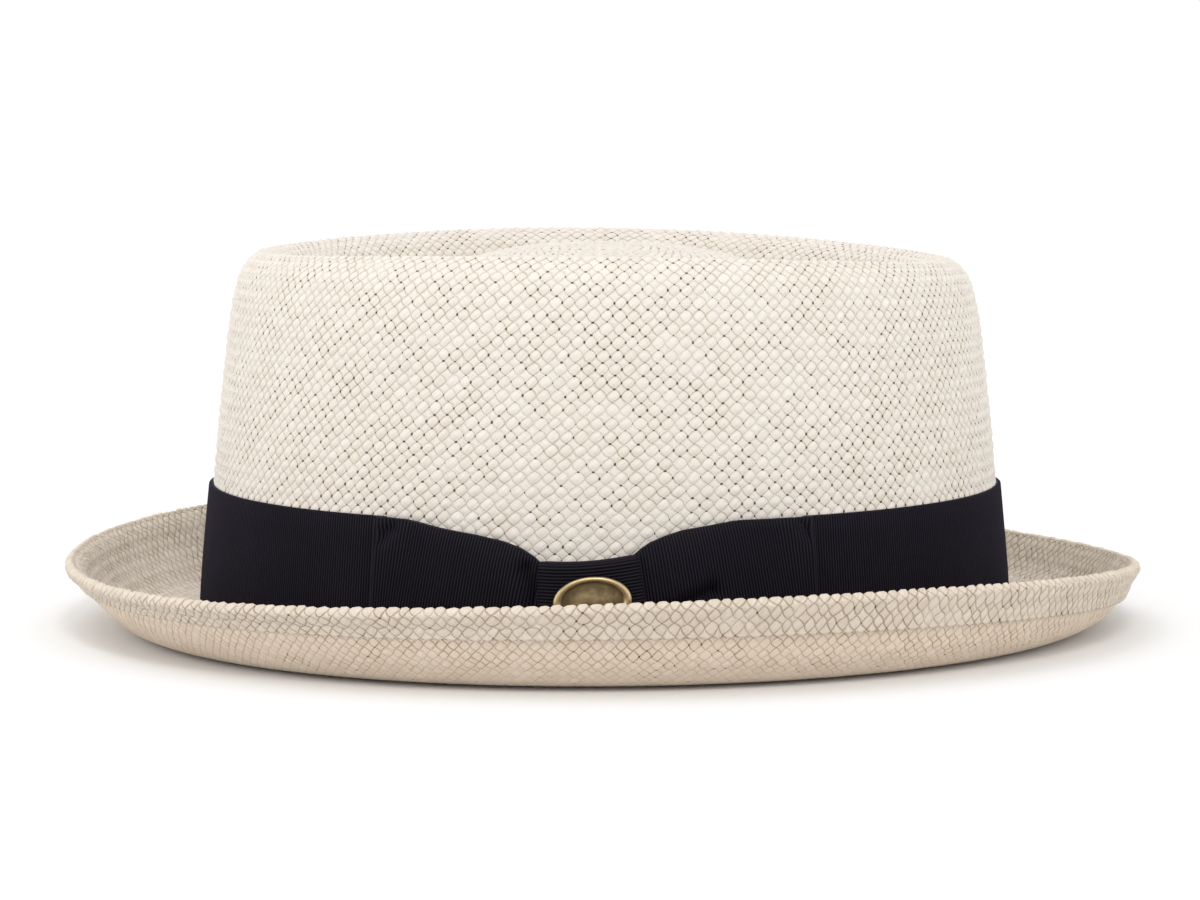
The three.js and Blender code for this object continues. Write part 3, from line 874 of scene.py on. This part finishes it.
# %% A strip of ribbon between two grids
def ribbon_strip(name, front, back, ribs, relief, closed=False):
    """front and back are grids of points, along the ribbon and then across it."""
    shell = Shell()
    rows, columns = front.shape[:2]
    across = np.linspace(0, 1, columns)
    first = shell.place(front, ribs[:, None], across, relief)
    second = shell.place(back)
    row, side = cells(range(rows if closed else rows - 1), range(columns - 1))
    after = (row + 1) % rows
    places = [(row, side, 0), (after, side, 1), (after, side + 1, 1), (row, side + 1, 0)]
    marks = [np.stack([ribs[row] + on / RIB_CUTS, across[column]], axis=-1) for _, column, on in places]
    for numbers, way in ((first, 1), (second, -1)):
        shell.join([numbers[line, column] for line, column, _ in places][::way], marks[::way])
    shell.edge(first[::-1, 0], second[::-1, 0], closed)
    shell.edge(first[:, -1], second[:, -1], closed)
    if not closed:
        shell.edge(first[0], second[0])
        shell.edge(first[-1, ::-1], second[-1, ::-1])
    return settle(make_object(name, shell), RIBS, RIB_LOOK)


# %% Build the tree that raises the ribs
def rib_tree():
    sockets = {"Rib Height": "Float", "Waver": "Float", "Ribbon": "Material"}
    tree, wires, identifiers = new_tree("Ribbon ribs", sockets)
    start = wires["Geometry"]
    rib = named(start, "strand_a")
    noise = start.add("GeometryNodeInputPosition").noise(160.0, 1.0)
    wave = (1 - (rib * (2 * math.pi)).math("COSINE")) * 0.5
    height = wave * wires["Rib Height"] + (noise - 0.5) * wires["Waver"]
    finish_tree(start, height, wires["Ribbon"])
    return tree, identifiers


RIBS = rib_tree()


# %% Black grosgrain as a material
def ribbon_material():
    material, body = new_material("ribbon")
    rib, across = weave_numbers(body)
    # Painted shade: the valleys between the ribs are painted darker, on top of the ribs' real relief.
    valley_shade = 1 - abs(rib - (rib + 0.5).floor()) * 2
    cloud = body.noise(60.0, 3.0)
    thread = (rib * 2.5).place(across * 190).noise(1.0, 2.0)
    light = cloud * 0.3 + thread * 0.6 - valley_shade * 1.1 + 0.42
    colour = light.blend((0.0004, 0.0003, 0.0007, 1), (0.022, 0.0182, 0.029, 1))
    values = {"Base Color": colour, "Roughness": cloud.between(0.5, 0.75)}
    values |= {"Specular IOR Level": 0.07, "Sheen Weight": 0.02, "Sheen Roughness": 0.35}
    values |= {"Sheen Tint": (0.75, 0.74, 0.85, 1)}
    finish_material(body, values, thread, 0.5, 0.12 * MM)
    return material


RIB_LOOK = {"Rib Height": 0.34, "Waver": 0.05, "Ribbon": ribbon_material()}

# %% [markdown]
# ## The band
# The band starts under one wing of the bow and ends under the other. Its two edges are woven tighter,
# so the ribs fade out there.


# %% Lay the band
def edge_fade(count):
    share = np.linspace(0, 1, count)
    return np.clip(np.minimum(share, 1 - share) * count, 0.35, 1)


def lay_band():
    start, end = WING_RIGHT - BAND_UNDER_WING, RIBBON_ROUND - WING_LEFT + BAND_UNDER_WING
    count = round((end - start) / RIB * RIB_CUTS)
    angles = angle_along(np.linspace(start, end, count + 1))[:, None]
    shares = np.array([0, 0.012, 0.15, 0.38, 0.62, 0.85, 0.988, 1])
    angles, heights = np.broadcast_arrays(angles, (RIBBON_FOOT + RIBBON_WIDTH * shares)[None, :])
    at_edge = (shares == 0) | (shares == 1)
    out = CLEARANCE + RIBBON_THICKNESS - RIB_INSET - np.where(at_edge, 0.35, 0.0) + 0 * heights
    front, back = beside_wall(angles, heights, out), beside_wall(angles, heights, 0.1 + 0 * out)
    ribs = np.arange(count + 1) / RIB_CUTS
    return ribbon_strip("ribbon_round", front, back, ribs, np.where(at_edge, 0.2, 1.0)), end - start


band_piece, band_length = lay_band()
print("band length, mm:", round(band_length, 1))

# %% [markdown]
# ## The wings of the bow
# A wing is a loop: the ribbon goes out from the knot, folds over and comes back underneath. Near the
# knot it is gathered and swells forward, and it has a few soft creases. The table gives how far it has
# opened, as shares of the way from the gathered height to full width.

# %% How a wing opens, and where it is creased
WING_ALONG = [-0.1, -0.05, 0, 0.035, 0.135, 0.25, 0.42, 0.65, 0.83, 1]
WING_TOP = {
    "left": [0, 0, 0.05, 0.2, 0.47, 0.65, 0.79, 0.91, 1.03, 1.02],
    "right": [0, 0.12, 0.27, 0.37, 0.53, 0.67, 0.77, 0.94, 1, 1],
}
WING_BOTTOM = [0, 0, 0, 0.12, 0.32, 0.55, 0.79, 0.93, 1, 1]
WING_SWELL = [0.4, 0.4, 0.4, 0.7, 1, 0.9, 0.6, 0.25, 0.05, 0]

# Each crease: start and end as (along, up), its depth and its width.
CREASES = {
    "left": [
        ((0.0, -0.3), (0.09, 0.3), 1.5, 0.07),
        ((0.12, -0.62), (0.5, -0.5), 0.6, 0.07),
        ((0.9, 0.86), (0.95, 0.72), 0.8, 0.045),
    ],
    "right": [
        ((0.0, -0.4), (0.36, -0.02), 1.5, 0.05),
        ((0.93, 0.9), (0.97, 0.76), 0.8, 0.045),
    ],
}


def skew_lift(distance, length):
    return math.tan(KNOT_SKEW) * distance * (1 - np.abs(distance) / length)


def crease_depth(wing, length, along, up):
    half = RIBBON_WIDTH / 2
    place = np.stack([along * length, up * half], axis=-1)
    depth = np.zeros(along.shape)
    for start, end, deepest, width in CREASES[wing]:
        first, last = (np.array([spot[0] * length, spot[1] * half]) for spot in (start, end))
        line = last - first
        share = np.clip(((place - first) @ line) / (line @ line), 0, 1)
        away = np.linalg.norm(place - first - share[..., None] * line, axis=-1)
        depth = np.maximum(depth, deepest * np.exp(-((away / (width * RIBBON_WIDTH)) ** 2)))
    return depth


def wing_heights(wing, side, length, distance, up_share):
    """How far out each place of a wing is, as a share, and its heights from the lower edge up."""
    along = (distance - KNOT_MOUTH) / (length - KNOT_MOUTH)
    gathered = KNOT_HEIGHT / 2 - RIBBON_THICKNESS - CLEARANCE
    opened = RIBBON_WIDTH / 2 - gathered
    middle = RIBBON_MIDDLE + skew_lift(side * distance, length)
    top = middle + gathered + opened * np.interp(along, WING_ALONG, WING_TOP[wing])
    bottom = middle - gathered - opened * np.interp(along, WING_ALONG, WING_BOTTOM)
    top = np.minimum(top, RIBBON_FOOT + RIBBON_WIDTH)
    bottom = np.maximum(bottom, RIBBON_FOOT)
    return along, bottom + (top - bottom) * up_share


# %% Fold a wing
WING_ROWS = 19
FOLD_STEPS = 17
REAR_STEPS = 28


def fold_wing(wing, side, length):
    radius = WING_THICKNESS / 2
    bend = length - radius
    front = np.linspace(WING_INNER_END, bend, round((bend - WING_INNER_END) / RIB * RIB_CUTS))
    turns = np.linspace(-np.pi / 2, np.pi / 2, FOLD_STEPS)[1:-1]
    rear = np.linspace(bend, WING_INNER_END, REAR_STEPS)
    distance, tight = (
        np.concatenate([front, bend + reach * np.cos(turns), rear])[:, None]
        for reach in (radius, radius - LAYER)
    )
    turn = np.concatenate([0 * front - np.pi / 2, turns, 0 * rear + np.pi / 2])[:, None]
    on_front = np.clip(0.5 - turn / np.pi, 0, 1)
    on_fold = np.abs(turn) < np.pi / 2

    up_share = np.linspace(0, 1, WING_ROWS)[None, :]
    along, height = wing_heights(wing, side, length, distance, up_share)
    swell = WING_PUFF * np.interp(along, WING_ALONG, WING_SWELL)
    bulge = 1 - (2 * up_share - 1) ** 4
    up = (height - RIBBON_MIDDLE) / (RIBBON_WIDTH / 2)
    dent = np.where(along > 0, crease_depth(wing, length - KNOT_MOUTH, along + 0 * up, up), 0)
    flat_out = STANDOFF + WING_THICKNESS * (1 - dent) + swell * bulge
    lean = RIB_LEAN * (height - RIBBON_MIDDLE) * np.clip((length - distance) / LEAN_FADE, 0, 1)
    grids = []
    for at, layer in ((distance, 0), (tight, LAYER)):
        round_fold = STANDOFF + radius - (radius - layer) * np.sin(turn)
        out = np.where(on_front > 0.5, flat_out - layer, STANDOFF + layer)
        out = np.where(on_fold, round_fold, out)
        grids.append(beside_wall(angle_along(side * (at - lean)), height, out))
    ribs = np.arange(len(distance)) / RIB_CUTS
    relief = edge_fade(WING_ROWS) * np.where(on_front > 0.1, 1.0, 0.0)
    return ribbon_strip(f"bow_loop_{wing}", grids[0][:, ::side], grids[1][:, ::side], ribs, relief)


loops = {}
for wing, side, length in (("left", -1, WING_LEFT), ("right", 1, WING_RIGHT)):
    loops[wing] = fold_wing(wing, side, length)

# %% [markdown]
# ## The knot
# A short piece of ribbon is wrapped round the gathered middle, so its ribs lie along the hat instead
# of upright. It is a closed ring whose ribs have to meet, so their number is a whole one.

# %% Wrap the knot
KNOT_ROWS = 15
KNOT_RIB = RIB * 1.12
CORNER_STEPS = 8


def knot_outline(shrink, count):
    """A rectangle with round corners, from the front's lower corner upwards, as (out, up) pairs."""
    radius = KNOT_FOLD + RIBBON_THICKNESS - shrink
    back, front = CLEARANCE + shrink + radius, KNOT_FRONT - shrink - radius
    half = KNOT_HEIGHT / 2 - shrink - radius
    points = []
    for corner, centre in enumerate([(front, -half), (front, half), (back, half), (back, -half)]):
        turn = math.pi / 2 * (corner - 1 + np.linspace(0, 1, CORNER_STEPS + 1))
        points.append(centre + radius * np.stack([np.cos(turn), np.sin(turn)], axis=-1))
    points = np.concatenate([*points, points[0][:1]])
    lengths = running_sum(step_lengths(points))
    at = np.linspace(0, lengths[-1], count, endpoint=False)
    return np.stack([np.interp(at, lengths, points[:, i]) for i in (0, 1)], axis=-1), lengths[-1]


def wrap_knot():
    _, length = knot_outline(0, CORNER_STEPS)
    count = round(length / KNOT_RIB) * RIB_CUTS
    across = np.linspace(-0.5, 0.5, KNOT_ROWS)[None, :]
    distance = KNOT_WIDTH * across
    lift = RIBBON_MIDDLE + skew_lift(distance, (WING_LEFT + WING_RIGHT) / 2)
    lift = lift + KNOT_SAG * (4 * across**2 - 1)
    pinch = 1 - 0.06 * (2 * np.abs(across)) ** 6
    grids = []
    for shrink in (RIB_INSET, RIBBON_THICKNESS):
        out, up = (values[:, None] for values in knot_outline(shrink, count)[0].T)
        narrower = KNOT_NARROWING * (0.5 + up / KNOT_HEIGHT) * np.clip(2 * across, 0, 1)
        angles, height = np.broadcast_arrays(angle_along(distance - narrower), lift + up)
        out = CLEARANCE + (out - CLEARANCE) * pinch
        grids.append(beside_wall(angles, height, out + 0 * height)[::-1])
    ribs = np.arange(count) / RIB_CUTS
    return ribbon_strip("bow_wrap", *grids, ribs, edge_fade(KNOT_ROWS), closed=True), length


knot, knot_length = wrap_knot()
print("ribbon round the knot, mm:", round(knot_length, 1))

# %% [markdown]
# ## The plate
# A plain oval plate of aged brass is pinned to the knot. Its raised border is rubbed bright, and the
# low places keep their brown patina, so the material needs to know how high a place lies: the plate's
# relief goes into an attribute.

# %% Sizes and place of the plate
PLATE_LENGTH = 19.0
PLATE_HEIGHT = 12.0
PLATE_THICKNESS = 1.6
PLATE_DROP = 2.0
PLATE_SINK = 0.15
PLATE_BEND = 0.004
PLATE_STEPS = 96
# From the middle out: share of the half-size, and share of the thickness.
PLATE_ROWS = [(0.0, 0.72), (0.4, 0.68), (0.66, 0.58), (0.75, 0.54), (0.79, 0.62), (0.83, 0.9)]
PLATE_ROWS += [(0.87, 1.0), (0.93, 0.98), (0.98, 0.8), (1.0, 0.45), (0.99, 0.1), (0.94, 0.0)]


def plate_frame():
    height = np.array([RIBBON_MIDDLE - PLATE_DROP])
    middle = np.array([BOW_ANGLE])
    spot = beside_wall(middle, height, KNOT_FRONT + CLEARANCE - PLATE_SINK)[0]
    steps = np.array([-1.0, 1.0])
    ends, sides = beside_wall(angle_along(steps), height, 0.0), beside_wall(middle, height + steps, 0.0)
    along, up = unit(ends[1] - ends[0]), unit(sides[1] - sides[0])
    along = unit(math.cos(KNOT_SKEW) * along + math.sin(KNOT_SKEW) * up)
    out = unit(np.cross(along, up))
    return spot, along, np.cross(out, along), out


# %% Make the plate
def make_plate():
    spot, along, up, out = plate_frame()
    turn = once_round(PLATE_STEPS)[:, None]
    shell = Shell()
    rings = []
    for share, lift in PLATE_ROWS[1:]:
        aside = PLATE_LENGTH / 2 * share * np.cos(turn)
        flat = aside * along + PLATE_HEIGHT / 2 * share * np.sin(turn) * up
        rings.append(spot + flat + (PLATE_THICKNESS * lift - PLATE_BEND * aside**2) * out)
    lifts = np.array([lift for _, lift in PLATE_ROWS])
    numbers = shell.place(np.stack(rings), a=lifts[1:, None])
    middle = shell.place((spot + PLATE_THICKNESS * lifts[0] * out)[None], a=lifts[0])
    rear = shell.place(spot[None], a=0.0)
    shell.fan(middle, numbers[0])
    shell.fan(rear, numbers[-1][::-1])
    for low, high in zip(numbers, numbers[1:]):
        shell.join([low, high, np.roll(high, -1), np.roll(low, -1)])
    return make_object("plain_plate", shell)


def brass_material():
    material, body = new_material("aged_brass")
    lift = body.add("ShaderNodeAttribute", settings={"attribute_name": "strand_a"}).out("Fac")
    rubbed = (lift + body.noise(420.0, 5.0) * 0.5 - 0.25).steps(0.55, 0.95)
    colour = rubbed.blend((0.13, 0.095, 0.05, 1), (0.52, 0.4, 0.22, 1))
    values = {"Base Color": colour, "Metallic": 1.0, "Roughness": rubbed.between(0.55, 0.3)}
    finish_material(body, values, body.noise(2600.0, 2.0), 0.35, 0.1 * MM)
    return material


plate = make_plate()
plate.data.materials.append(brass_material())
print("plate:", len(plate.data.vertices), "vertices")

# %% [markdown]
# ## Which piece stands for which solid
# Each woven piece stands for the straw body, and each ribbon piece for its own solid. The hat has no
# joints, so everything rides on the root.

# %% Ride and replace
for piece in (crown, tip, brim, under):
    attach(piece, "root")
    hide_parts("straw_body")

cloth = [
    (band_piece, "ribbon_band", RIBBON_WIDTH, band_length, "stretched"),
    (loops["left"], "bow_wing_left", RIBBON_WIDTH, 2 * WING_LEFT, "gathered"),
    (loops["right"], "bow_wing_right", RIBBON_WIDTH, 2 * WING_RIGHT, "gathered"),
    (knot, "bow_knot", KNOT_WIDTH, knot_length, "folded"),
]
for piece, node, width, length, held in cloth:
    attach(piece, "root")
    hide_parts(node)
    width * MM
    length * MM

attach(plate, "root")
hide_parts("pin_plate")

# %% [markdown]
# ## Floor, light and camera
# The photograph has soft light from all round, a little more from above, and a long lens almost level
# with the brim. Its background is white, so the floor pales with distance until it meets the white sky.

# %% Floor and light
FLOOR_SIZE = 6.0
FLOOR_GAP = 0.6 * MM
WORLD_LIGHT = 1.03
# Each lamp: name, place, aim and size in metres, and power in watts.
LAMPS = [
    ("key", (0.15, -1.1, 1.25), (0, 0, 0.04), 0.35, 5.6),
    ("fill", (1.4, -0.7, 0.5), (0, 0, 0.05), 1.2, 3.2),
    ("low_left", (-1.4, -0.3, 0.4), (0, 0, 0.03), 1.2, 4.8),
    ("top", (-0.5, -0.3, 1.6), (0, 0, 0.05), 0.8, 3.8),
]


def make_floor():
    mesh = bpy.data.meshes.new("floor")
    low = cad_low[2] - FLOOR_GAP
    corners = [(x * FLOOR_SIZE, y * FLOOR_SIZE, low) for x, y in ((-1, -1), (1, -1), (1, 1), (-1, 1))]
    mesh.from_pydata(corners, [], [(0, 1, 2, 3)])
    material, body = new_material("floor")
    away = body.add("ShaderNodeVectorMath", {0: body}, {"operation": "LENGTH"}).out("Value")
    pale = away.steps(0.25, 1.0).blend((0.8, 0.8, 0.8, 1), (1, 1, 1, 1))
    finish_material(body, {"Base Color": pale, "Roughness": 0.9})
    mesh.materials.append(material)
    put_in_scene("floor", mesh)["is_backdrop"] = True


def look_at(thing, place, aim):
    thing.location = place
    thing.rotation_euler = (Vector(aim) - Vector(place)).to_track_quat("-Z", "Y").to_euler()


make_floor()
world = bpy.data.worlds.new("studio")
scene.world = world
world.use_nodes = True
background = world.node_tree.nodes["Background"].inputs
background["Color"].default_value = (1, 1, 1, 1)
background["Strength"].default_value = WORLD_LIGHT
scene.view_settings.view_transform = "Standard"
for name, place, aim, size, power in LAMPS:
    lamp = bpy.data.lights.new(name, "AREA")
    lamp.size, lamp.energy = size, power
    look_at(put_in_scene(name, lamp), place, aim)

# %% Camera
camera_data = bpy.data.cameras.new("camera")
camera_data.sensor_width = 36.0
camera_data.lens = 102.96
camera_data.clip_start = 0.01
camera = put_in_scene("camera", camera_data)
look_at(camera, (-0.0005, -0.9, 0.146347), (-0.0005, 0.0, 0.044695))
scene.camera = camera

# %% Print the sizes and finish
new_low, new_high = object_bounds()
print_box("visual", new_low, new_high)
